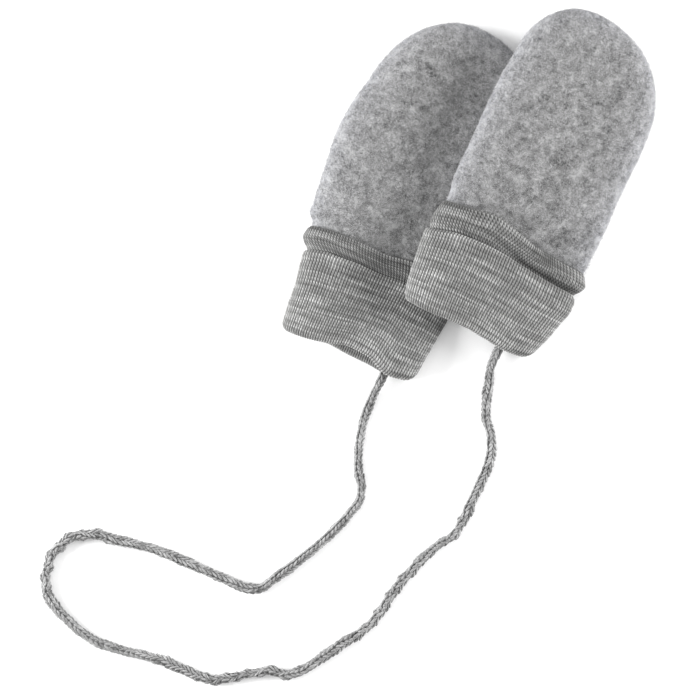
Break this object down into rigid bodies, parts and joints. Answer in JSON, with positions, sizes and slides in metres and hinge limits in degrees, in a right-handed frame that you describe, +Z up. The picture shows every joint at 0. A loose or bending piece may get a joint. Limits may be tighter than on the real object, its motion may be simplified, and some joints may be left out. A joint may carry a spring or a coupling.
{
  "type": "pair of baby mittens",
  "caption": "Pair of thumbless baby mittens in brushed melange fleece with turned-up jersey cuffs, joined by a knitted cord, laid flat with one overlapping the other.",
  "frame": {"origin": "centre of the two mittens' bounding box, cord left out, on the surface that they lie on", "axes": "+Z up from the surface, +Y towards the fingertips, which lean about 23 degrees to +X, +X towards the mitten that lies on top"},
  "size_m": [0.2644, 0.2901, 0.0241],
  "materials": {
    "fleece": "brushed wool fleece, matt, fuzzy",
    "jersey": "fine single jersey, matt",
    "yarn": "knitted cord, matt"
  },
  "bodies": {
    "root": {"left_mitten_lower_fleece_panel": "fleece", "left_mitten_upper_fleece_panel": "fleece", "left_mitten_jersey_cuff": "jersey", "right_mitten_lower_fleece_panel": "fleece", "right_mitten_upper_fleece_panel": "fleece", "right_mitten_jersey_cuff": "jersey", "knitted_cord": "yarn"}
  },
  "joints": []
}
